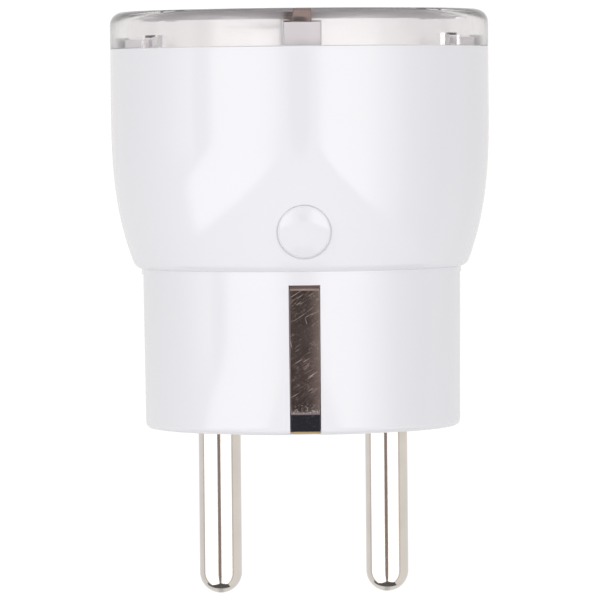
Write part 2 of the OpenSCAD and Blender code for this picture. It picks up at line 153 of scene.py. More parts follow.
def make(name, bm, material=None, smooth=True):
    """Object from a bmesh in millimetres, with smooth faces that break at sharp edges."""
    bmesh.ops.remove_doubles(bm, verts=bm.verts, dist=1e-5)
    bmesh.ops.recalc_face_normals(bm, faces=bm.faces)
    mesh = bpy.data.meshes.new(name)
    bm.to_mesh(mesh)
    bm.free()
    mesh.transform(Matrix.Scale(MM, 4))
    if smooth:
        mesh.shade_smooth()
        mesh.set_sharp_from_angle(angle=SHARP)
    obj = bpy.data.objects.new(name, mesh)
    bpy.context.scene.collection.objects.link(obj)
    if material:
        mesh.materials.append(material)
    return obj


def lathe_mesh(outline, segments=SEGMENTS, turn=1.0, start=0.0):
    """Bmesh of a closed (radius, height) outline turned about Z, or through part of a turn with its ends closed."""
    bm = bmesh.new()
    whole = turn >= 1
    count = segments if whole else segments + 1
    rings = []
    for r, z in outline:
        if r < 1e-6:
            rings.append([bm.verts.new((0, 0, z))] * count)
            continue
        angles = (start + 2 * math.pi * turn * j / segments for j in range(count))
        rings.append([bm.verts.new((r * math.cos(a), r * math.sin(a), z)) for a in angles])
    for i, low in enumerate(rings):
        high = rings[(i + 1) % len(rings)]
        for j in range(segments):
            k = (j + 1) % count
            corners = list(dict.fromkeys((low[j], low[k], high[k], high[j])))
            if len(corners) > 2:
                bm.faces.new(corners)
    if not whole:
        bm.faces.new([ring[0] for ring in rings])
        bm.faces.new([ring[-1] for ring in reversed(rings)])
    return bm


def lathe(name, outline, material=None, segments=SEGMENTS):
    """Object of a closed outline turned about Z."""
    return make(name, lathe_mesh(outline, segments), material)


def sector(name, r0, r1, z0, z1, start, end, edge=0.0, segments=24):
    """Solid between two radii, two heights and two angles from the front, counted in degrees towards +X."""
    corners = [(r0, z0, edge), (r1, z0, edge), (r1, z1, edge), (r0, z1, edge)]
    outline = rounded(corners, 3) if edge else [c[:2] for c in corners]
    turn = (end - start) / 360
    return make(name, lathe_mesh(outline, segments, turn, math.radians(start - 90)))


def block(name, low, high, edge=0.0, material=None, steps=2):
    """Box between two corners, with its edges rounded by edge."""
    bm = bmesh.new()
    bmesh.ops.create_cube(bm, size=1)
    size = Vector(high) - Vector(low)
    centre = (Vector(high) + Vector(low)) / 2
    bmesh.ops.transform(bm, matrix=Matrix.Translation(centre) @ Matrix.Diagonal((*size, 1)), verts=bm.verts)
    if edge:
        bmesh.ops.bevel(bm, geom=bm.edges, offset=edge, segments=steps, profile=0.5, affect="EDGES")
    return make(name, bm, material)


def prism(name, outline, low, high, axis="Z", edge=0.0, material=None):
    """Outline drawn across an axis and stretched along it from low to high, with its end edges rounded."""
    place = {
        "Z": lambda a, b, c: (a, b, c),
        "Y": lambda a, b, c: (a, c, b),
        "X": lambda a, b, c: (c, a, b),
    }[axis]
    bm = bmesh.new()
    ends = [[bm.verts.new(place(a, b, c)) for a, b in outline] for c in (low, high)]
    caps = [bm.faces.new(end) for end in ends]
    for i in range(len(outline)):
        k = (i + 1) % len(outline)
        bm.faces.new((ends[0][i], ends[0][k], ends[1][k], ends[1][i]))
    if edge:
        rims = list({e for cap in caps for e in cap.edges})
        bmesh.ops.bevel(bm, geom=rims, offset=edge, segments=2, profile=0.5, affect="EDGES")
    return make(name, bm, material)


def rod(name, start, end, radius, edge=0.0, material=None, segments=64):
    """Cylinder between two points, with its end edges rounded."""
    start, end = Vector(start), Vector(end)
    length = (end - start).length
    outline = rounded([(0, 0, 0), (radius, 0, edge), (radius, length, edge), (0, length, 0)], 4)
    bm = lathe_mesh(outline, segments)
    turn = (end - start).to_track_quat("Z", "Y").to_matrix().to_4x4()
    bmesh.ops.transform(bm, matrix=Matrix.Translation(start) @ turn, verts=bm.verts)
    return make(name, bm, material)


def tube(name, path, radius, material=None, sides=10, closed=False):
    """Round wire along a path of points."""
    bm = bmesh.new()
    points = [Vector(p) for p in path]
    last = len(points) - 1
    rings = []
    side = None
    for i, point in enumerate(points):
        ahead = points[(i + 1) % len(points)] if closed else points[min(i + 1, last)]
        behind = points[i - 1] if closed or i else points[0]
        along = (ahead - behind).normalized()
        if side is None:
            side = along.orthogonal().normalized()
        side = (side - along * side.dot(along)).normalized()
        other = along.cross(side)
        angles = (2 * math.pi * k / sides for k in range(sides))
        rings.append([bm.verts.new(point + radius * (math.cos(a) * side + math.sin(a) * other)) for a in angles])
    for i in range(len(rings) if closed else last):
        low, high = rings[i], rings[(i + 1) % len(rings)]
        for k in range(sides):
            m = (k + 1) % sides
            bm.faces.new((low[k], low[m], high[m], high[k]))
    if not closed:
        bm.faces.new(rings[0])
        bm.faces.new(rings[-1])
    return make(name, bm, material)


def sheet_strip(name, path, thickness, width_at, material=None, edge=0.06, bow=0.0):
    """Bent sheet metal: a path in the Y-Z plane, with its width given by a function of the path's point."""
    bm = bmesh.new()
    points = [Vector(p) for p in path]
    rings = []
    shares = (-1, -0.6, -0.2, 0.2, 0.6, 1)
    for i, point in enumerate(points):
        before = (point - points[i - 1]).normalized() if i else (points[1] - point).normalized()
        after = (points[i + 1] - point).normalized() if i < len(points) - 1 else before
        along = (before + after).normalized()
        normal = Vector((-along.y, along.x))
        reach = thickness / 2 / max(0.5, along.dot(after))
        half = width_at(point) / 2
        inner = half - edge
        shoulder = 1 - 2 * edge / thickness
        section = [(inner * t, 1) for t in reversed(shares)] + [(-half, shoulder), (-half, -shoulder)]
        section += [(inner * t, -1) for t in shares] + [(half, -shoulder), (half, shoulder)]
        ring = []
        for x, share in section:
            place = point + normal * (reach * share + bow * (1 - (x / half) ** 2))
            ring.append(bm.verts.new((x, place.x, place.y)))
        rings.append(ring)
    for low, high in zip(rings, rings[1:]):
        for k in range(len(low)):
            m = (k + 1) % len(low)
            bm.faces.new((low[k], low[m], high[m], high[k]))
    bm.faces.new(rings[0])
    bm.faces.new(rings[-1])
    return make(name, bm, material)


def combine(obj, others, operation):
    """Cuts other objects from a piece or joins them to it, and removes them."""
    for other in others:
        modifier = obj.modifiers.new("combine", "BOOLEAN")
        modifier.operation = operation
        modifier.solver = "EXACT"
        modifier.object = other
    bpy.context.view_layer.update()
    result = bpy.data.meshes.new_from_object(obj.evaluated_get(bpy.context.evaluated_depsgraph_get()))
    obj.modifiers.clear()
    obj.data = result
    for other in others:
        bpy.data.objects.remove(other)
    result.shade_smooth()
    result.set_sharp_from_angle(angle=SHARP)
    return obj


def cut(obj, *others):
    return combine(obj, others, "DIFFERENCE")


def join(obj, *others):
    return combine(obj, others, "UNION")


def mirrored(obj, x=1, y=1):
    """Mirrors a mesh in place."""
    obj.data.transform(Matrix.Diagonal((x, y, 1, 1)))
    if x * y < 0:
        obj.data.flip_normals()
    return obj


def turned(obj, degrees):
    """Turns a mesh about Z in place."""
    obj.data.transform(Matrix.Rotation(math.radians(degrees), 4, "Z"))
    return obj


def fit(obj, body, slot, *nodes):
    """Puts a finished piece on its CAD body and hides the CAD nodes that it stands for. Its slot, the name of its
    finish, is not used.
    """
    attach(obj, body)
    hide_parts(*nodes)
    return obj


# ---------------------------------------------------------------- materials

class Nodes:
    """Short names for building a material's node tree."""

    def __init__(self, name):
        self.material = bpy.data.materials.new(name)
        self.material.use_nodes = True
        self.tree = self.material.node_tree
        self.shader = self.tree.nodes["Principled BSDF"]
        self.place = self.tree.nodes.new("ShaderNodeTexCoord").outputs["Object"]

    def node(self, kind, **settings):
        made = self.tree.nodes.new(kind)
        for key, value in settings.items():
            setattr(made, key, value)
        return made

    def link(self, source, target):
        self.tree.links.new(source, target)

    def stretched(self, scale, turn=(0, 0, 0)):
        """Object coordinates along turned axes, each multiplied by its scale."""
        mapping = self.node("ShaderNodeMapping", vector_type="TEXTURE")
        mapping.inputs["Scale"].default_value = [1 / a for a in scale]
        mapping.inputs["Rotation"].default_value = [math.radians(a) for a in turn]
        self.link(self.place, mapping.inputs["Vector"])
        return mapping.outputs["Vector"]

    def noise(self, scale, detail=3, roughness=0.5, place=None):
        made = self.node("ShaderNodeTexNoise")
        made.inputs["Scale"].default_value = scale
        made.inputs["Detail"].default_value = detail
        made.inputs["Roughness"].default_value = roughness
        self.link(place or self.place, made.inputs["Vector"])
        return made.outputs["Fac"]

    def spread(self, value, low, high, start=0.0, end=1.0):
        """Value between low and high mapped onto start to end."""
        made = self.node("ShaderNodeMapRange")
        for key, number in zip(("From Min", "From Max", "To Min", "To Max"), (low, high, start, end)):
            made.inputs[key].default_value = number
        self.link(value, made.inputs["Value"])
        return made.outputs["Result"]

    def maths(self, operation, a, b):
        made = self.node("ShaderNodeMath", operation=operation)
        for socket, value in zip(made.inputs, (a, b)):
            if isinstance(value, (int, float)):
                socket.default_value = value
            else:
                self.link(value, socket)
        return made.outputs["Value"]

    def mix(self, share, a, b):
        """Colour between a and b by share."""
        made = self.node("ShaderNodeMix", data_type="RGBA")
        self.link(share, made.inputs[0])
        for socket, value in ((made.inputs[6], a), (made.inputs[7], b)):
            if isinstance(value, (tuple, list)):
                socket.default_value = (*value, 1)
            else:
                self.link(value, socket)
        return made.outputs[2]

    def height(self, place=None):
        """Height on the object, in millimetres."""
        split = self.node("ShaderNodeSeparateXYZ")
        self.link(self.place, split.inputs[0])
        return self.maths("MULTIPLY", split.outputs["Z"], 1 / MM)

    def bump(self, *layers):
        """Stacks (value, depth in millimetres) layers of bump onto the shader."""
        normal = None
        for value, depth in layers:
            made = self.node("ShaderNodeBump")
            made.inputs["Strength"].default_value = 1
            made.inputs["Distance"].default_value = depth * MM
            self.link(value, made.inputs["Height"])
            if normal:
                self.link(normal, made.inputs["Normal"])
            normal = made.outputs["Normal"]
        self.link(normal, self.shader.inputs["Normal"])

    def set(self, **values):
        for key, value in values.items():
            self.shader.inputs[key.replace("_", " ")].default_value = value


def shade(color, factor):
    return tuple(min(1, c * factor) for c in color)


def scratches(n, scale, turn, cover):
    """Fine straight scratches, as a mask."""
    lines = n.noise(1, 2, 0.6, n.stretched(scale, turn))
    patches = n.noise(260, 2)
    mask = n.spread(lines, 1 - cover, 1 - cover + 0.05)
    return n.maths("MULTIPLY", mask, n.spread(patches, 0.4, 0.6))


def plastic(name, color, roughness, grain=0.0006, tint=0.02, **sockets):
    """Moulded plastic: faint flow marks in the colour, a fine moulded skin and light handling scuffs."""
    n = Nodes(name)
    flow = n.noise(60, 3, place=n.stretched((1, 1, 0.4)))
    n.link(n.mix(flow, shade(color, 1 - tint), shade(color, 1 + tint)), n.shader.inputs["Base Color"])
    skin = n.noise(9000, 2)
    scuffs = scratches(n, (5000, 5000, 220), (0, 35, 20), 0.3)
    patches = n.spread(n.noise(180, 4), 0.3, 0.7, roughness * 0.75, roughness * 1.3)
    n.link(n.maths("ADD", patches, n.maths("MULTIPLY", scuffs, 0.04)), n.shader.inputs["Roughness"])
    n.bump((n.noise(140, 2), grain * 4), (skin, grain), (scuffs, grain / 2))
    n.set(**sockets)
    return n.material


def metal(name, color, roughness, grain=(400, 400, 4000), wear=0.3, tarnish=0.75, **sockets):
    """Plated or rolled metal: tarnish, drawing marks and scratches."""
    n = Nodes(name)
    n.set(Metallic=1.0)
    clouds = n.noise(300, 4)
    lines = n.noise(1, 2, 0.6, n.stretched(grain))
    marks = scratches(n, (1500, 1500, 150), (20, 40, 0), wear)
    base = n.mix(n.spread(clouds, 0.35, 0.7), color, shade(color, tarnish))
    n.link(n.mix(marks, base, shade(color, 1.25)), n.shader.inputs["Base Color"])
    rough = n.spread(lines, 0.3, 0.7, roughness * 0.7, roughness * 1.4)
    n.link(n.maths("ADD", rough, n.maths("MULTIPLY", marks, 0.15)), n.shader.inputs["Roughness"])
    n.bump((lines, 0.0015), (marks, 0.002))
    n.set(**sockets)
    return n.material


def worn_metal(name, color, roughness, shaded_foot, raw_edge):
    """Plated strip that plugs have rubbed: slanted scratches, specks, a worn band at the foot, painted shade on the
    bent foot, painted shade that darkens it towards the bottom, and a raw lower edge.
    """
    n = Nodes(name)
    n.set(Metallic=1.0)
    clouds = n.noise(700, 5, 0.65)
    height = n.height()
    patches = n.spread(n.noise(420, 3), 0.45, 0.62)
    rub = n.maths("MULTIPLY", n.spread(height, 2.2, 2.5), n.spread(height, 3.6, 2.9))
    fine = n.noise(1, 3, 0.7, n.stretched((13000, 13000, 900), (0, 50, 0)))
    long = n.noise(1, 2, 0.6, n.stretched((11000, 11000, 330), (0, 58, 0)))
    steep = n.noise(1, 2, 0.6, n.stretched((11000, 11000, 300), (0, -12, 0)))
    marks = n.maths("MULTIPLY", n.spread(fine, 0.56, 0.76), n.maths("MAXIMUM", patches, rub))
    for lines, start in ((long, 0.67), (steep, 0.73)):
        marks = n.maths("MAXIMUM", marks, n.spread(lines, start, start + 0.05))
    specks = n.spread(n.noise(7000, 2), 0.64, 0.72)
    marks = n.maths("MAXIMUM", marks, n.maths("MULTIPLY", specks, n.spread(rub, 0, 1, 0.3, 1.0)))
    base = n.mix(n.spread(clouds, 0.35, 0.65), color, shade(color, 0.82))
    # painted shade: the strip is painted darker towards the bottom
    base = n.mix(n.spread(height, 10, 3.5), base, shade(color, 0.68))
    base = n.mix(marks, base, n.mix(rub, shade(color, 1.2), (0.80, 0.79, 0.82)))
    # painted shade: the bent foot is painted dark blue-grey, standing in for the dark it faces
    base = n.mix(n.spread(height, 2.45, 2.2), base, shaded_foot)
    raw = n.spread(height, 0.38, 0.32)
    n.link(n.mix(raw, base, raw_edge), n.shader.inputs["Base Color"])
    rough = n.spread(clouds, 0.3, 0.7, roughness * 0.7, roughness * 1.4)
    rough = n.maths("ADD", rough, n.maths("MULTIPLY", raw, 0.45))
    n.link(n.maths("ADD", rough, n.maths("MULTIPLY", marks, 0.16)), n.shader.inputs["Roughness"])
    n.bump((clouds, 0.0012), (marks, 0.003))
    return n.material


def clear_plastic(name):
    """Clear acrylic with faint flow lines and a lightly scuffed skin."""
    n = Nodes(name)
    flow = n.noise(80, 2, place=n.stretched((1, 1, 3)))
    n.link(n.mix(flow, (0.94, 0.925, 0.935), (0.965, 0.95, 0.96)), n.shader.inputs["Base Color"])
    n.link(n.spread(n.noise(220, 3), 0.3, 0.7, 0.06, 0.12), n.shader.inputs["Roughness"])
    n.bump((n.noise(120, 2), 0.004), (scratches(n, (900, 900, 120), (0, 60, 15), 0.25), 0.0008))
    n.set(IOR=1.49, Transmission_Weight=1.0)
    # lamps shine through the ring on to what is behind it
    clear = n.node("ShaderNodeBsdfTransparent")
    clear.inputs["Color"].default_value = (0.94, 0.94, 0.95, 1)
    both = n.node("ShaderNodeMixShader")
    n.link(n.node("ShaderNodeLightPath").outputs["Is Shadow Ray"], both.inputs[0])
    n.link(n.shader.outputs[0], both.inputs[1])
    n.link(clear.outputs[0], both.inputs[2])
    n.link(both.outputs[0], n.tree.nodes["Material Output"].inputs["Surface"])
    return n.material


WHITE = (0.782, 0.775, 0.81)
white_shell = plastic("white_shell", WHITE, 0.06, IOR=1.58)
base_white = plastic("base_white", WHITE, 0.11, IOR=1.58)
button_cap = plastic("button_cap", shade(WHITE, 0.985), 0.08, IOR=1.6)
# the socket insert is painted greyer and warmer than the shells: painted shade of the deep recess
socket_insert = plastic("socket_insert", (0.71, 0.69, 0.705), 0.32, grain=0.0015)
clear_ring = clear_plastic("clear_ring")
nickel = metal("nickel", (0.74, 0.70, 0.66), 0.095, (700, 700, 60), wear=0.22, tarnish=0.93)
# the third colour is painted shade on the strap's bent foot
earth_metal = worn_metal("earth_metal", (0.40, 0.305, 0.28), 0.1, (0.215, 0.215, 0.265), raw_edge=(0.75, 0.56, 0.3))
brass = metal("brass", (0.80, 0.60, 0.27), 0.25)
spring_wire = metal("spring_wire", (0.60, 0.60, 0.62), 0.25)
screw_steel = metal("screw_steel", (0.66, 0.66, 0.68), 0.28)
relay_iron = metal("relay_iron", (0.50, 0.49, 0.47), 0.42)
shunt_metal = metal("shunt_metal", (0.62, 0.42, 0.28), 0.35)
board = plastic("board", (0.02, 0.17, 0.07), 0.28, tint=0.12)
relay_case = plastic("relay_case", (0.03, 0.10, 0.36), 0.3)
winding = plastic("winding", (0.50, 0.17, 0.05), 0.25, tint=0.12)
capacitor_sleeve = plastic("capacitor_sleeve", (0.02, 0.03, 0.09), 0.22)
capacitor_box = plastic("capacitor_box", (0.78, 0.45, 0.04), 0.4)
varistor_coat = plastic("varistor_coat", (0.03, 0.14, 0.46), 0.22)
resistor_body = plastic("resistor_body", (0.62, 0.50, 0.30), 0.4)
chip_epoxy = plastic("chip_epoxy", (0.02, 0.02, 0.022), 0.5)
switch_plastic = plastic("switch_plastic", (0.03, 0.03, 0.032), 0.45)
wire_sleeve = plastic("wire_sleeve", (0.05, 0.05, 0.055), 0.55)
led_package = plastic("led_package", (0.90, 0.86, 0.70), 0.15)
flex_print = plastic("flex_print", (0.80, 0.79, 0.74), 0.4)

MATERIALS = {m.name: m for m in bpy.data.materials}


# ---------------------------------------------------------------- outer shells

def front_port(bm, radius_at, low_z, high_z, columns, rows, port_r, loops, flat_y=None):
    """Surface of revolution between two heights around a round port on the front. Returns the port's ring of vertices
    and their places in the X-Z plane, counted anticlockwise from +X."""
    half = math.radians(180 * columns / SEGMENTS)
    angles = [-half + 2 * half * i / columns for i in range(columns + 1)]
    heights = [low_z + (high_z - low_z) * i / rows for i in range(rows + 1)]
    border = [(a, low_z) for a in angles[:-1]] + [(half, z) for z in heights[:-1]]
    border += [(a, high_z) for a in reversed(angles[1:])] + [(-half, z) for z in reversed(heights[1:])]
    spokes = []
    for a, z in border:
        x = radius_at(z) * math.sin(a)
        spokes.append((x, z, math.atan2(z - BUTTON_Z, x)))
    rings = []
    for k in range(loops + 1):
        share = (k / loops) ** 1.4
        ring = []
        for x, z, angle in spokes:
            px = port_r * math.cos(angle) * (1 - share) + x * share
            pz = (BUTTON_Z + port_r * math.sin(angle)) * (1 - share) + z * share
            py = -math.sqrt(radius_at(pz) ** 2 - px**2)
            if flat_y is not None and math.hypot(px, pz - BUTTON_Z) < 4.0:
                py = min(py, flat_y)
            ring.append(bm.verts.new((px, py, pz)))
        rings.append(ring)
    for inner, outer in zip(rings, rings[1:]):
        for i in range(len(inner)):
            k = (i + 1) % len(inner)
            bm.faces.new((inner[i], inner[k], outer[k], outer[i]))
    return rings[0], spokes


def head_skin():
    """Barrel head: a rounded lower corner, a thin wall, and a bore with a soft rim for the button."""
    port_low, port_high = SEAM_Z + 1.1, SEAM_Z + 8.0
    columns, rows = 24, 24
    rim = 0.25
    rim_turn = math.radians(46)
    rim_w = rim * math.sin(rim_turn)
    bore_r = BUTTON_R + 0.01
    lean = head_lean(SEAM_Z + 0.8)
    corner_z = SEAM_Z + HEAD_CORNER_R
    tangent_z = corner_z - HEAD_CORNER_R * math.sin(lean)
    corner_x = head_r(tangent_z) - HEAD_CORNER_R * math.cos(lean)
    port_steps = [port_low + (port_high - port_low) * i / rows for i in range(rows + 1)]
    above = [port_high + (RING_Z - 0.1 - port_high) * (i / 26) for i in range(1, 27)]
    outer = arc((corner_x, corner_z), HEAD_CORNER_R, -90, -math.degrees(lean), 12)
    outer += [(head_r(z), z) for z in port_steps + above]
    channel_r = SOCKET_R + 1.4
    seat_r = SOCKET_R + 0.7
    top = arc((HEAD_R - 0.1, RING_Z - 0.1), 0.1, 15, 90, 4)
    top += [(channel_r, RING_Z), (channel_r, RING_Z - 1.65), (seat_r, RING_Z - 1.65), (seat_r, CUP_UNDER_Z - 0.2)]

    def inner_r(z):
        return head_r(z) - HEAD_WALL

    inner = [(inner_r(z), z) for z in reversed(port_steps)]
    lip = [(16.9, SEAM_Z + 0.8), (16.9, SEAM_Z)]
    outline = outer + top + [(inner_r(CUP_UNDER_Z - 0.6), CUP_UNDER_Z - 0.6)] + inner + lip
    bm = lathe_mesh(outline)
    # the faces in front of the port make way for a port patch on each side of the wall
    half = math.radians(180 * columns / SEGMENTS) - 1e-4
    doomed = []
    for face in bm.faces:
        centre = face.calc_center_median()
        in_front = abs(math.atan2(centre.x, -centre.y)) < half
        if in_front and port_low < centre.z < port_high and math.hypot(centre.x, centre.y) > 17:
            doomed.append(face)
    bmesh.ops.delete(bm, geom=doomed, context="FACES")
    outer_ring, spokes = front_port(bm, head_r, port_low, port_high, columns, rows, bore_r + rim_w, 10)
    inner_ring, _ = front_port(bm, inner_r, port_low, port_high, columns, rows, bore_r, 8, flat_y=-18.66)
    previous = outer_ring
    steps = 5
    for s in range(1, steps + 1):
        angle = rim_turn * s / steps
        radius = bore_r + rim_w - rim * math.sin(angle)
        ring = []
        for vert, (_, _, spoke) in zip(outer_ring, spokes):
            y = vert.co.y + rim * (1 - math.cos(angle))
            ring.append(bm.verts.new((radius * math.cos(spoke), y, BUTTON_Z + radius * math.sin(spoke))))
        for i in range(len(ring)):
            k = (i + 1) % len(ring)
            bm.faces.new((previous[i], previous[k], ring[k], ring[i]))
        previous = ring
    for i in range(len(previous)):
        k = (i + 1) % len(previous)
        bm.faces.new((previous[i], previous[k], inner_ring[k], inner_ring[i]))
    return fit(make("head_skin", bm, white_shell), "housing", "white_shell", "head_shell")


def base_skin():
    """Plug base: a drafted wall with a rounded foot, guide notches, earth slots and the seats of the two pins."""
    top_z = SEAM_Z + 0.2
    spigot_z = base_hi.z
    foot_r = BASE_R - top_z * math.tan(math.radians(0.5))
    outline = rounded([
        (0, 0, 0), (foot_r, 0, 0.8), (BASE_R, top_z, 0.1), (16.7, top_z, 0.05), (16.7, spigot_z, 0.3),
        (15.6, spigot_z, 0.3), (15.6, 15.7, 0.5), (16.3, 15, 0.5), (16.3, 2.2, 0.6), (0, 2.2, 0),
    ], 6)
    skin = lathe("base_skin", outline, base_white)
    additions = []
    cutters = []
    for side in (-1, 1):
        additions.append(block("notch_wall", (side * 15.85 - 0.85, -4.2, 0.3), (side * 15.85 + 0.85, 4.2, top_z - 0.1)))
        additions.append(rod("pin_boss", (side * PIN_X, 0, 1.9), (side * PIN_X, 0, 4), 4.3, 0.2))
        additions.append(rod("board_post", (0, side * 12.3, 1.9), (0, side * 12.3, 7.6), 2.5, 0.2))
        notch = [(16.5, -2.7, 0.35), (20, -3.0, 0), (20, 3.0, 0), (16.5, 2.7, 0.35)]
        notch = [(side * a, side * b) for a, b in rounded(notch, 4)]
        cutters.append(prism("notch", notch, -1, SEAM_Z - 0.6, "Z", 0.1))
        cutters.append(rod("pin_bore", (side * PIN_X, 0, -1), (side * PIN_X, 0, 1), PIN_R + 0.2))
        cutters.append(rod("collar_seat", (side * PIN_X, 0, 0.6), (side * PIN_X, 0, 5), 3.25))
        cutters.append(rod("pilot", (0, side * 12.3, 3.2), (0, side * 12.3, 9), 0.9))
        ring = [(3.0, -0.5), (3.9, -0.5), (3.9, 0.12), (3.75, 0.22), (3.15, 0.22), (3.0, 0.12)]
        groove = lathe("pin_groove", ring, segments=96)
        groove.data.transform(Matrix.Translation((side * PIN_X * MM, 0, 0)))
        cutters.append(groove)
        slot = [(-1.72, 17.4), (1.72, 17.4), (1.72, 17.98), (1.86, 18.16), (1.86, 20), (-1.86, 20), (-1.86, 18.16), (-1.72, 17.98)]
        slot = [(a, side * b) for a, b in slot]
        cutters.append(prism("strap_groove", slot, -1, 16.62, "Z"))
        cutters.append(block("strap_foot", (-1.72, min(side * 16.4, side * 19), -1), (1.72, max(side * 16.4, side * 19), 2.7)))
        cutters.append(block("strap_way", (-1.7, min(side * 14, side * 17.8), 16.2), (1.7, max(side * 14, side * 17.8), 17.35)))
    cutters.append(block("switch_room", (-4, -18, SEAM_Z + 0.4), (4, -13, spigot_z + 1)))
    # shallow ejector marks on the plug face
    for angle in (45, 135, 225, 315):
        x, y = 12.6 * math.cos(math.radians(angle)), 12.6 * math.sin(math.radians(angle))
        cutters.append(rod("ejector_mark", (x, y, -1), (x, y, 0.06), 1.6))
    join(skin, *additions)
    cut(skin, *cutters)
    return fit(skin, "housing", "white_shell", "base_shell")


# the ring's windows on each side of the front and rear: angles from the middle, and heights
WINDOWS = ((57, 77, 1.15), (49, 55, 1.4))


def window_sectors(name, r0, r1, low, gap):
    """One sector for each window, drawn in by gap on its free sides."""
    made = []
    for start, end, height in WINDOWS:
        for rear in (0, 180):
            for side in (1, -1):
                a, b = sorted((side * (start + gap * 3), side * (end - gap * 3)))
                made.append(sector(name, r0, r1, low, RING_Z + height - gap, a + rear, b + rear))
    return made


def ring_skin():
    """Clear ring with a large top outer edge radius and notches over the tabs of the socket insert."""
    inner_r = SOCKET_R + 0.1
    outline = rounded([(inner_r, RING_Z, 0.1), (HEAD_R, RING_Z, 0.08), (HEAD_R, TOP_Z, 1.5), (inner_r, TOP_Z, 0.3)], 12)
    skin = lathe("ring_skin", outline, clear_ring)
    cutters = window_sectors("window", SOCKET_R - 1, SOCKET_R + 1.35, RING_Z - 1, 0)
    for rear in (0, 180):
        cutters.append(turned(block("clip_notch", (-2.05, -SOCKET_R - 1.2, RING_Z - 1), (2.05, -SOCKET_R + 1, RING_Z + 2.75)), rear))
    cut(skin, *cutters)
    return fit(skin, "housing", "clear_ring", "light_ring")


def cup_skin():
    """Socket insert: the round recess with guide ribs, two chamfered holes and the tabs that locate the ring."""
    top_z = RING_Z - 0.05
    outline = rounded([
        (0, CUP_UNDER_Z, 0), (CUP_R, CUP_UNDER_Z, 0.3), (CUP_R, top_z, 0.1), (SOCKET_R, top_z, 0.15),
        (SOCKET_R, CUP_FLOOR_Z, 0.7), (0, CUP_FLOOR_Z, 0),
    ], 5)
    skin = lathe("cup_skin", outline, socket_insert)
    tabs = window_sectors("tab", SOCKET_R + 0.15, CUP_R - 0.05, RING_Z - 1, 0.15)
    cutters = []
    for side in (-1, 1):
        rib = [(17.0, -2.4, 0.5), (SOCKET_R + 0.3, -2.4, 0), (SOCKET_R + 0.3, 2.4, 0), (17.0, 2.4, 0.5)]
        rib = [(side * a, side * b) for a, b in rounded(rib, 5)]
        tabs.append(prism("rib", rib, CUP_FLOOR_Z - 0.5, top_z - 0.3, "Z", 0.25))
        tabs.append(sector("clip_wall", SOCKET_R + 0.15, CUP_R - 0.05, RING_Z - 1, RING_Z + 2.6, 90 + side * 90 - 5.6, 90 + side * 90 + 5.6))
        tabs.append(rod("retainer_post", (0, side * 8.4, 25.5), (0, side * 8.4, CUP_UNDER_Z + 0.4), 2.0, 0.1))
        hole = rounded([(0, -3, 0), (2.7, -3, 0), (2.7, 1.15, 0.2), (3.3, 1.8, 0), (3.3, 3, 0), (0, 3, 0)], 3)
        cutter = lathe("pin_hole", hole, segments=96)
        cutter.data.transform(Matrix.Translation(Vector((side * PIN_X, 0, CUP_UNDER_Z)) * MM))
        cutters.append(cutter)
        cutters.append(block("clip_slot", (-1.9, min(side * 18.4, side * 19.35), CUP_UNDER_Z - 1), (1.9, max(side * 18.4, side * 19.35), CUP_FLOOR_Z + 1)))
        cutters.append(rod("retainer_pilot", (0, side * 8.4, 24), (0, side * 8.4, CUP_UNDER_Z - 0.4), 0.75))
    tabs.append(rod("pivot", (0, 0, 24.8), (0, 0, CUP_UNDER_Z + 0.4), 1.5, 0.15))
    join(skin, *tabs)
    cut(skin, *cutters)
    return fit(skin, "housing", "socket_insert", "socket_cup")


def button_piece():
    """Domed button whose face follows the lean of the head, with a soft edge, a retaining flange and a stem."""
    dome = 0.5
    surface = head_r(BUTTON_Z)
    tilt = head_lean(BUTTON_Z) * 0.7
    dome_r = (BUTTON_R**2 + dome**2) / (2 * dome)
    depth = dome_r - dome
    centre = Vector((0, -surface + depth * math.cos(tilt), BUTTON_Z + depth * math.sin(tilt)))
    edge = 0.38
    segments = 96
    bm = bmesh.new()

    def face_y(x, z):
        return centre.y - math.sqrt(dome_r**2 - x**2 - (z - centre.z) ** 2)

    def ring_at(radius, y_of):
        ring = []
        for k in range(segments):
            a = 2 * math.pi * k / segments
            x, z = radius * math.cos(a), BUTTON_Z + radius * math.sin(a)
            ring.append(bm.verts.new((x, y_of(x, z), z)))
        return ring

    rings = [[bm.verts.new((0, face_y(0, BUTTON_Z), BUTTON_Z))] * segments]
    end = math.radians(52)
    start = math.asin((BUTTON_R - edge * math.sin(end)) / (dome_r - edge))
    flat = BUTTON_R - edge * (math.sin(end) - math.sin(start))
    for k in range(1, 15):
        rings.append(ring_at(flat * k / 14, face_y))
    for k in range(1, 7):
        a = start + (end - start) * k / 6
        drop = edge * (math.cos(start) - math.cos(a))
        rings.append(ring_at(BUTTON_R - edge * (math.sin(end) - math.sin(a)), lambda x, z, d=drop: face_y(x * flat / BUTTON_R, BUTTON_Z + (z - BUTTON_Z) * flat / BUTTON_R) + d))
    for radius, y in ((BUTTON_R, -18.55), (3.5, -18.55), (3.6, -18.45), (3.6, -18.05), (3.5, -17.95), (1.5, -17.95), (1.5, -17.4), (1.4, -17.3)):
        rings.append(ring_at(radius, lambda x, z, y=y: y))
    rings.append([bm.verts.new((0, -17.3, BUTTON_Z))] * segments)
    for low, high in zip(rings, rings[1:]):
        for k in range(segments):
            m = (k + 1) % segments
            bm.faces.new(list(dict.fromkeys((low[k], low[m], high[m], high[k]))))
    return fit(make("button_piece", bm, button_cap), "button", "button_cap", "power_button")


# ---------------------------------------------------------------- pins and earth straps

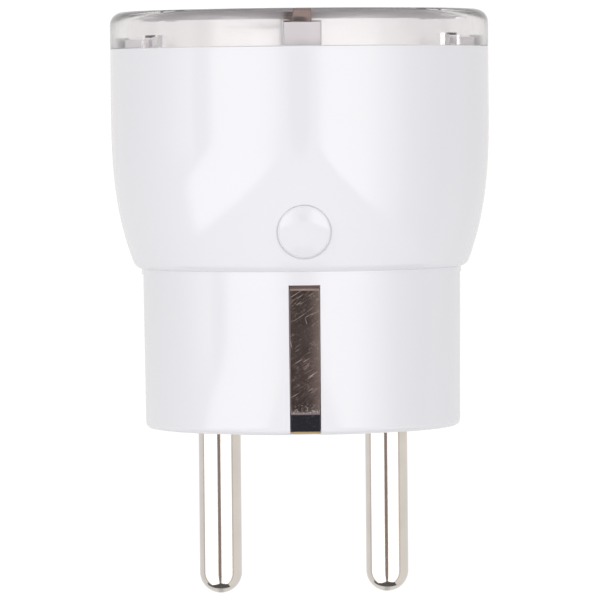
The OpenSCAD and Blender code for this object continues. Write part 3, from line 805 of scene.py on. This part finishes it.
def mains_pin(side, node):
    """Solid round pin with a hemispherical tip, a collar and a riveted neck."""
    tip = [(r, z) for r, z in arc((0, TIP_Z + PIN_R), PIN_R, -90, 0, 20)]
    tip[0] = (0, TIP_Z)
    neck = rounded([
        (PIN_R, -0.1, 0), (PIN_R - 0.2, -0.1, 0), (PIN_R - 0.2, 0.6, 0), (3.2, 0.6, 0.1), (3.2, 4, 0.15), (1.5, 4, 0.05), (1.5, 4.8, 0.05),
        (2.2, 4.8, 0.05), (2.2, 5.6, 0.5), (0, 5.6, 0),
    ], 4, closed=False)
    outline = tip + [(PIN_R, z) for z in (-12, -8, -4, -1)] + neck
    piece = lathe(node + "_turned", outline, nickel, 128)
    piece.data.transform(Matrix.Translation((side * PIN_X * MM, 0, 0)))
    return fit(piece, "housing", "nickel", node)


# side view of an earth strap, as distance from the axis, height and bend radius
STRAP_PATH = (
    (16.75, 0.27, 0), (17.75, 2.45, 0.6), (17.75, 16.2, 0.5), (17.1, 16.85, 0.5), (12.0, 16.85, 0.4),
    (11.5, 17.35, 0.3), (11.5, 27.0, 0.3), (12.0, 27.5, 0.3), (18.45, 27.5, 0.3), (18.95, 28.0, 0.3),
    (18.95, 31, 2), (16.7, 36.5, 1.5), (16.4, 38.5, 2), (16.7, 40.5, 1.5), (19.1, 44.6, 0.8), (18.95, 47, 0),
)


def earth_strap(node, rear):
    """One stamped strap: side contact of the plug, riser, and sprung clip with a narrow tip."""
    def width_at(point):
        if point.y > 43:
            return 2.0 + 1.3 * max(0, 1 - (point.y - 43) / 0.8)
        return 3.3

    path = []
    bends = rounded(STRAP_PATH, 6, closed=False)
    for a, b in zip(bends, bends[1:]):
        steps = max(1, int(math.dist(a, b) / 0.4))
        path += [(a[0] + (b[0] - a[0]) * k / steps, a[1] + (b[1] - a[1]) * k / steps) for k in range(steps)]
    path.append(bends[-1])
    piece = sheet_strip(node + "_stamped", path, 0.6, width_at, earth_metal, bow=-0.03)
    if not rear:
        mirrored(piece, y=-1)
    return fit(piece, "housing", "earth_metal", node)


# ---------------------------------------------------------------- parts on the boards

def middle_of(node):
    """Lowest and highest corner of a CAD node and the middle between them, in millimetres."""
    low, high = box_mm(node)
    return low, high, (low + high) / 2


def moved(obj, x, y):
    """Moves a mesh in the X-Y plane, in place."""
    obj.data.transform(Matrix.Translation((x * MM, y * MM, 0)))
    return obj


def wound(node, bore, cheek_h, wire_r, pitch):
    """Bobbin or drum core between two cheeks, with a layer of round wire showing between them."""
    low, high, middle = middle_of(node)
    cheek_r = high.x - middle.x
    start, end = low.z + cheek_h, high.z - cheek_h
    count = round((end - start) / pitch)
    pitch = (end - start) / count
    outline = rounded([(bore, low.z, 0), (cheek_r, low.z, 0.1), (cheek_r, start, 0.1), (wire_r - pitch, start, 0)], 3, closed=False)
    for k in range(count):
        outline += arc((wire_r - pitch / 2, start + (k + 0.5) * pitch), pitch / 2, -80, 80, 4)
    outline += rounded([(wire_r - pitch, end, 0), (cheek_r, end, 0.1), (cheek_r, high.z, 0.1), (bore, high.z, 0)], 3, closed=False)
    piece = moved(lathe(node + "_wound", outline, winding, 64), middle.x, middle.y)
    return fit(piece, "housing", "winding", node)


def can_capacitor(node):
    """Sleeved electrolytic can: a crimp near its foot, a rolled rim and a scored vent in its top."""
    low, high, middle = middle_of(node)
    r = high.x - middle.x
    crimp = low.z + 1.5
    outline = rounded([
        (0, low.z, 0), (r, low.z, 0.35), (r, crimp - 0.4, 0.2), (r - 0.25, crimp, 0.2), (r, crimp + 0.4, 0.2),
        (r, high.z, 0.35), (r - 0.6, high.z, 0.05), (r - 0.7, high.z - 0.15, 0.05), (0, high.z - 0.15, 0),
    ], 4)
    can = lathe(node + "_can", outline, capacitor_sleeve, 96)
    score = (r - 1.2, 0.09, 0.28)
    for turn in (45, 135):
        vent = block("vent", (-score[0], -score[1], high.z - score[2]), (score[0], score[1], high.z + 1))
        cut(can, turned(vent, turn))
    return fit(moved(can, middle.x, middle.y), "housing", "capacitor_sleeve", node)


def dipped_disc(node):
    """Epoxy-dipped varistor disc, thick in the middle and round at its edge."""
    low, high, middle = middle_of(node)
    r, half = high.z - middle.z, (high.x - low.x) / 2
    outline = rounded([(0, -half, 0), (r - 1.3, -half, 2.5), (r, 0, 0.8), (r - 1.3, half, 2.5), (0, half, 0)], 6)
    disc = lathe(node + "_dipped", outline, varistor_coat, 96)
    disc.data.transform(Matrix.Translation(middle * MM) @ Matrix.Rotation(math.pi / 2, 4, "Y"))
    return fit(disc, "housing", "varistor_coat", node)


def capped_resistor(node):
    """Lacquered resistor standing on end, with a pressed cap on each end of its body."""
    low, high, middle = middle_of(node)
    r = high.x - middle.x
    body_r = r - 0.2
    outline = rounded([
        (0, low.z, 0), (r, low.z, 0.5), (r, low.z + 1.4, 0.3), (body_r, low.z + 1.9, 0.3),
        (body_r, high.z - 1.9, 0.3), (r, high.z - 1.4, 0.3), (r, high.z, 0.5), (0, high.z, 0),
    ], 4)
    piece = moved(lathe(node + "_capped", outline, resistor_body, 64), middle.x, middle.y)
    return fit(piece, "housing", "resistor_body", node)


def box_capacitor(node):
    """Moulded film capacitor with soft edges, standing feet and a potted face underneath."""
    low, high, _ = middle_of(node)
    piece = block(node + "_box", low, high, 0.3, capacitor_box, 3)
    inset = Vector((0.5, 0.5, 0))
    room = block("potting", low + inset - Vector((0, 0, 1)), (high.x - 0.5, high.y - 0.5, low.z + 0.25))
    gap = block("gap", (low.x - 1, low.y + 1.2, low.z - 1), (high.x + 1, high.y - 1.2, low.z + 0.25))
    return fit(cut(piece, room, gap), "housing", "capacitor_box", node)


def chip(node):
    """Moulded chip under the board, with a drafted body, a dimple at its first leg and four bent legs on each side."""
    low, high, middle = middle_of(node)
    lead = 0.6
    body = block(node + "_body", (low.x, low.y + lead, low.z), (high.x, high.y - lead, high.z - 0.1), 0.12, chip_epoxy)
    dimple = rod("dimple", (low.x + 0.9, low.y + lead + 0.7, low.z - 1), (low.x + 0.9, low.y + lead + 0.7, low.z + 0.08), 0.3)
    fit(cut(body, dimple), "housing", "chip_epoxy", node)
    pitch = (high.x - low.x) / 4
    shoulder = (low.z + high.z) / 2
    legs = bmesh.new()
    for side in (-1, 1):
        edge_y = middle.y + side * (high.y - middle.y)
        path = [(edge_y - side * (lead + 0.1), shoulder), (edge_y - side * 0.35, shoulder), (edge_y - side * 0.2, high.z - 0.08), (edge_y, high.z - 0.08)]
        for k in range(4):
            x = low.x + (k + 0.5) * pitch
            leg = sheet_strip("leg", path, 0.15, lambda point: 0.4, screw_steel, 0.03)
            leg.data.transform(Matrix.Translation((x * MM, 0, 0)))
            legs.from_mesh(leg.data)
            bpy.data.objects.remove(leg)
    bmesh.ops.scale(legs, vec=(1 / MM,) * 3, verts=legs.verts)
    return fit(make(node + "_legs", legs, screw_steel), "housing", "screw_steel", node)


def relay_case_piece():
    """Relay cover: a thin moulded case, open below, with soft edges and a vent nib on top."""
    wall = 0.6
    low, high, _ = middle_of("relay_cover")
    case = block("relay_case", low, high, 0.5, relay_case, 3)
    room = block("room", low + Vector((wall, wall, -1)), high - Vector((wall, wall, wall)), 0.3)
    nib = rod("nib", (low.x + 1.8, low.y + 1.8, high.z - 0.15), (low.x + 1.8, low.y + 1.8, high.z + 1), 0.5)
    return fit(cut(case, room, nib), "housing", "relay_case", "relay_cover")


def spring_piece():
    """Coil that turns the shutter back. The shutter squeezes it against the retainer's lug; this piece rides on the
    housing and keeps one shape.
    """
    x, start, end, lug, z = 3.5, 3.2, 7.35, 7.5, 26.7
    coil_r, wire_r, turns, steps = 0.55, 0.11, 5, 16
    path = []
    for i in range(turns * steps + 1):
        a = 2 * math.pi * i / steps
        along = start + (end - start) * i / (turns * steps)
        path.append((x + coil_r * math.cos(a), along, z + coil_r * math.sin(a)))
    piece = tube("shutter_spring_coil", path, wire_r, MATERIALS["spring_wire"], sides=8)
    fit(piece, "housing", "spring_wire", "shutter_spring")
    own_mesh(piece)


def board_parts():
    """The parts inside that a service technician would see first."""
    spring_piece()
    wound("relay_coil", 1.55, 0.7, 3.8, 0.32)
    wound("choke", 0, 1.0, 2.0, 0.4)
    can_capacitor("smoothing_capacitor")
    dipped_disc("varistor")
    capped_resistor("fuse_resistor")
    box_capacitor("suppression_capacitor")
    chip("rectifier")
    chip("metering_chip")
    relay_case_piece()


# ---------------------------------------------------------------- inner pieces that keep their CAD shape

def dress():
    """Gives every CAD node that still shows the material of its slot."""
    for entry in frame["record"]["subparts"]:
        obj = frame["nodes"][entry["node"]]
        if obj.hide_render:
            continue
        obj.data.materials.clear()
        obj.data.materials.append(MATERIALS[entry["material_slot"]])


# ---------------------------------------------------------------- studio

def one_sided(n):
    """Leaves a stage surface out where it is seen from its back."""
    both = n.node("ShaderNodeMixShader")
    n.link(n.node("ShaderNodeNewGeometry").outputs["Backfacing"], both.inputs[0])
    n.link(n.shader.outputs[0], both.inputs[1])
    n.link(n.node("ShaderNodeBsdfTransparent").outputs[0], both.inputs[2])
    n.link(both.outputs[0], n.tree.nodes["Material Output"].inputs["Surface"])


def floor():
    """Wide white floor just under the pins' tips, lit from inside like a light table. It is seen from above only."""
    reach, level = 4.0, (TIP_Z - 0.02) * MM
    corners = [(-reach, -reach, level), (reach, -reach, level), (reach, reach, level), (-reach, reach, level)]
    mesh = bpy.data.meshes.new("floor")
    mesh.from_pydata(corners, [], [(0, 1, 2, 3)])
    n = Nodes("floor_white")
    n.link(n.mix(n.noise(6, 2), (0.02, 0.02, 0.02), (0.03, 0.03, 0.03)), n.shader.inputs["Base Color"])
    n.set(Roughness=1.0, Specular_IOR_Level=0.0, Emission_Color=(1, 1, 1, 1), Emission_Strength=1.03)
    one_sided(n)
    n.material.cycles.emission_sampling = "NONE"
    mesh.materials.append(n.material)
    table = bpy.data.objects.new("floor", mesh)
    bpy.context.scene.collection.objects.link(table)
    for kind in ("diffuse", "glossy", "transmission", "shadow"):
        setattr(table, "visible_" + kind, False)


def cards(name, start, end, colour, strength):
    """Small cards under the plug face, around the front of each pin, between two angles from the front. Only the
    pins reflect them."""
    reach, top, foot = 8, -0.3, -29
    points = []
    for side in (-1, 1):
        for angle, heights in ((start, (top, foot)), (end, (foot, top))):
            a = math.radians(angle)
            x, y = side * PIN_X + reach * math.sin(a), -reach * math.cos(a)
            points += [(x * MM, y * MM, z * MM) for z in heights]
    mesh = bpy.data.meshes.new(name)
    # each card faces its own pin
    mesh.from_pydata(points, [], [(0, 3, 2, 1), (4, 7, 6, 5)])
    n = Nodes(name)
    n.link(n.mix(n.noise(40, 2), colour, shade(colour, 0.98)), n.shader.inputs["Emission Color"])
    n.set(Base_Color=(0, 0, 0, 1), Roughness=1.0, Emission_Strength=strength)
    one_sided(n)
    n.material.cycles.emission_sampling = "NONE"
    mesh.materials.append(n.material)
    obj = bpy.data.objects.new(name, mesh)
    bpy.context.scene.collection.objects.link(obj)
    for kind in ("camera", "diffuse", "transmission", "shadow"):
        setattr(obj, "visible_" + kind, False)


class Sky(Nodes):
    """Node tree of the world, with the direction of each ray."""

    def __init__(self, name):
        self.world = bpy.data.worlds.new(name)
        self.world.use_nodes = True
        self.tree = self.world.node_tree
        self.tree.nodes.clear()
        self.place = self.node("ShaderNodeTexCoord").outputs["Generated"]
        split = self.node("ShaderNodeSeparateXYZ")
        self.link(self.place, split.inputs[0])
        self.x, self.y, self.z = split.outputs

    def step(self, value, low, high, start=0.0, end=1.0):
        """Smooth step of value between low and high."""
        made = self.node("ShaderNodeMapRange", interpolation_type="SMOOTHSTEP")
        for key, number in zip(("From Min", "From Max", "To Min", "To Max"), (low, high, start, end)):
            made.inputs[key].default_value = number
        self.link(value, made.inputs["Value"])
        return made.outputs["Result"]

    def times(self, *values):
        product = values[0]
        for value in values[1:]:
            product = self.maths("MULTIPLY", product, value)
        return product

    def panel(self, side, outer, inner, bottom, top, strength, skirt=0.0):
        """Tall light panel beside the camera's path. Its ends are given as slopes towards the camera, its edges as
        slopes of height, all seen from the object. Below the horizon it reaches further out by skirt."""
        aside = self.maths("MAXIMUM", self.maths("MULTIPLY", self.x, side), 1e-4)
        towards = self.maths("DIVIDE", self.maths("MULTIPLY", self.y, -1), aside)
        height = self.maths("DIVIDE", self.z, aside)
        if skirt:
            towards = self.maths("ADD", towards, self.step(height, -0.06, -0.19, 0, skirt))
        return self.times(
            self.step(towards, *outer),
            self.step(towards, inner[1], inner[0]),
            self.step(height, *bottom),
            self.step(height, top[1], top[0]),
            strength,
        )

    def light(self, strength, colour=(1, 1, 1)):
        made = self.node("ShaderNodeBackground")
        made.inputs["Color"].default_value = (*colour, 1)
        if isinstance(strength, (int, float)):
            made.inputs["Strength"].default_value = strength
        else:
            self.link(strength, made.inputs["Strength"])
        return made.outputs[0]

    def choose(self, share, a, b):
        made = self.node("ShaderNodeMixShader")
        for socket, value in zip(made.inputs, (share, a, b)):
            self.link(value, socket)
        return made.outputs[0]


def world():
    """White studio. Reflections show two tall panels, bright walls, a dark ceiling and a dark place at the camera."""
    sky = Sky("studio")
    bpy.context.scene.world = sky.world
    ahead = sky.maths("MULTIPLY", sky.y, -1)
    aside = math.radians(1.2)
    to_camera = sky.maths("SUBTRACT", sky.times(ahead, math.cos(aside)), sky.times(sky.x, math.sin(aside)))
    tall, low = (0.9, 1.4), (-0.5, -0.42)
    sideways = sky.step(sky.maths("ABSOLUTE", sky.x, 0), 0.12, 0.42)
    ceiling = sky.times(sky.step(sky.z, 0.25, 0.95), sky.spread(sideways, 0, 1, 0.82, 0.06))
    walls = sky.maths("SUBTRACT", 0.86, ceiling)
    # the tilt of a surface that shows this direction to the camera, sideways and downwards
    half = sky.maths("SQRT", sky.spread(sky.y, -1, 1, 4, 1e-4), 0)
    tilt_x, tilt_z = sky.maths("DIVIDE", sky.x, half), sky.maths("DIVIDE", sky.z, half)
    across = sky.maths("POWER", sky.maths("ABSOLUTE", sky.times(tilt_x, 1 / 0.62), 0), 2)
    down = sky.maths("POWER", sky.maths("ABSOLUTE", sky.spread(tilt_z, -0.785, -0.55, -1, 0), 0), 2)
    lens = sky.times(sky.step(sky.maths("ADD", across, down), 1.1, 0.85), sky.step(tilt_z, -0.48, -0.52))
    stem = sky.times(sky.step(sky.maths("ABSOLUTE", tilt_x, 0), 0.16, 0.1), sky.step(tilt_z, -0.33, -0.38), sky.step(tilt_z, -0.57, -0.54))
    walls = sky.times(walls, sky.spread(sky.maths("MAXIMUM", lens, stem), 0, 1, 1, 0.13))
    dim_right = sky.panel(1, (-0.35, -0.1), (0.35, 0.6), low, tall, 0.35)
    walls = sky.times(walls, sky.maths("SUBTRACT", 1, dim_right))
    camera_side = sky.step(to_camera, math.cos(math.radians(8)), math.cos(math.radians(4.5)), 1.0, 0.14)
    left = sky.panel(-1, (0.55, 0.80), (1.3, 6.0), low, tall, 1.5, skirt=0.42)
    right = sky.panel(1, (0.25, 1.4), (3.0, 7.0), low, tall, 1.5)
    far_left = sky.panel(-1, (-0.15, 0.33), (0.36, 0.42), (-0.16, -0.04), tall, 0.55)
    panels = sky.maths("ADD", left, sky.maths("ADD", right, far_left))
    mirror = sky.maths("ADD", sky.times(walls, camera_side), panels)
    above = sky.step(sky.z, -0.2, 0.9, 1.03, 0.31)
    below = sky.step(sky.z, -0.9, -0.1, 0.58, 1.0)
    soft = sky.times(above, below, sky.step(ahead, -0.6, 1.0, 1.0, 1.22))
    seen = sky.node("ShaderNodeLightPath")
    warm = sky.node("ShaderNodeAddShader")
    sky.link(sky.light(mirror, (1, 0.985, 0.97)), warm.inputs[0])
    sky.link(sky.light(sky.times(ceiling, 0.07), (1, 0.72, 0.66)), warm.inputs[1])
    lit = sky.choose(seen.outputs["Is Diffuse Ray"], warm.outputs[0], sky.light(soft))
    whole = sky.choose(seen.outputs["Is Camera Ray"], lit, sky.light(1.05))
    output = sky.node("ShaderNodeOutputWorld")
    sky.link(whole, output.inputs["Surface"])


def area_light(name, azimuth, low, high, spread, distance, radiance, glossy=True, diffuse=True):
    """Rectangular light that spans spread degrees about an azimuth, and elevations from low to high."""
    a, middle = math.radians(azimuth), math.radians((low + high) / 2)
    aim = Vector((0, 0, (TOP_Z + TIP_Z) / 2)) * MM
    back = Vector((math.sin(a) * math.cos(middle), -math.cos(a) * math.cos(middle), math.sin(middle)))
    data = bpy.data.lights.new(name, "AREA")
    data.shape = "RECTANGLE"
    data.size = 2 * distance * math.tan(math.radians(spread / 2))
    data.size_y = 2 * distance * math.tan(math.radians((high - low) / 2))
    data.energy = radiance * math.pi * data.size * data.size_y
    obj = bpy.data.objects.new(name, data)
    obj.location = aim + back * distance
    obj.rotation_mode = "QUATERNION"
    obj.rotation_quaternion = back.to_track_quat("Z", "Y")
    obj.visible_camera = False
    obj.visible_glossy = glossy
    obj.visible_transmission = glossy
    obj.visible_diffuse = diffuse
    bpy.context.scene.collection.objects.link(obj)
    return obj


def lights():
    """Broad lights in front and overhead that light the object and don't show in its reflections."""
    area_light("front", -9, 0, 40, 40, 0.8, 0.83, glossy=False)
    area_light("overhead", 0, 60, 120, 60, 0.8, 0.06, glossy=False)


def camera():
    """Long lens slightly above the middle of the object and a touch to its left, as a packshot is taken."""
    distance = 600
    height = 37
    yaw = math.radians(1.0)
    data = bpy.data.cameras.new("camera")
    data.sensor_width = 36
    data.lens = 316.1
    data.clip_start = 0.05
    data.clip_end = 20
    obj = bpy.data.objects.new("camera", data)
    bpy.context.scene.collection.objects.link(obj)
    obj.location = Vector((-distance * math.sin(yaw), -distance * math.cos(yaw), height)) * MM
    pitch = math.radians(2.1646)
    aside = math.radians(0.018)
    roll = math.radians(-0.55)
    level = Matrix.Rotation(-yaw + aside, 4, "Z") @ Matrix.Rotation(math.pi / 2 - pitch, 4, "X")
    obj.rotation_mode = "QUATERNION"
    obj.rotation_quaternion = (level @ Matrix.Rotation(roll, 4, "Z")).to_quaternion()
    bpy.context.scene.camera = obj


camera()
world()
lights()
floor()
cards("card_left", -83, -11, (1, 0.99, 0.98), 1.7)
cards("card_middle", -18, 2.5, (0.29, 0.235, 0.22), 1.0)
cards("card_right", 2.5, 56, (1, 0.99, 0.98), 1.7)
cards("card_rim_left", -93, -83, (0.66, 0.61, 0.60), 1.0)
cards("card_rim_right", 56, 65, (0.70, 0.65, 0.61), 1.0)
cards("card_side", 65, 115, (0.88, 0.86, 0.83), 1.0)
bpy.context.scene.view_settings.view_transform = "Standard"

head_skin()
base_skin()
ring_skin()
cup_skin()
button_piece()
mains_pin(-1, "line_pin")
mains_pin(1, "neutral_pin")
earth_strap("earth_strap_front", rear=False)
earth_strap("earth_strap_rear", rear=True)
board_parts()
dress()
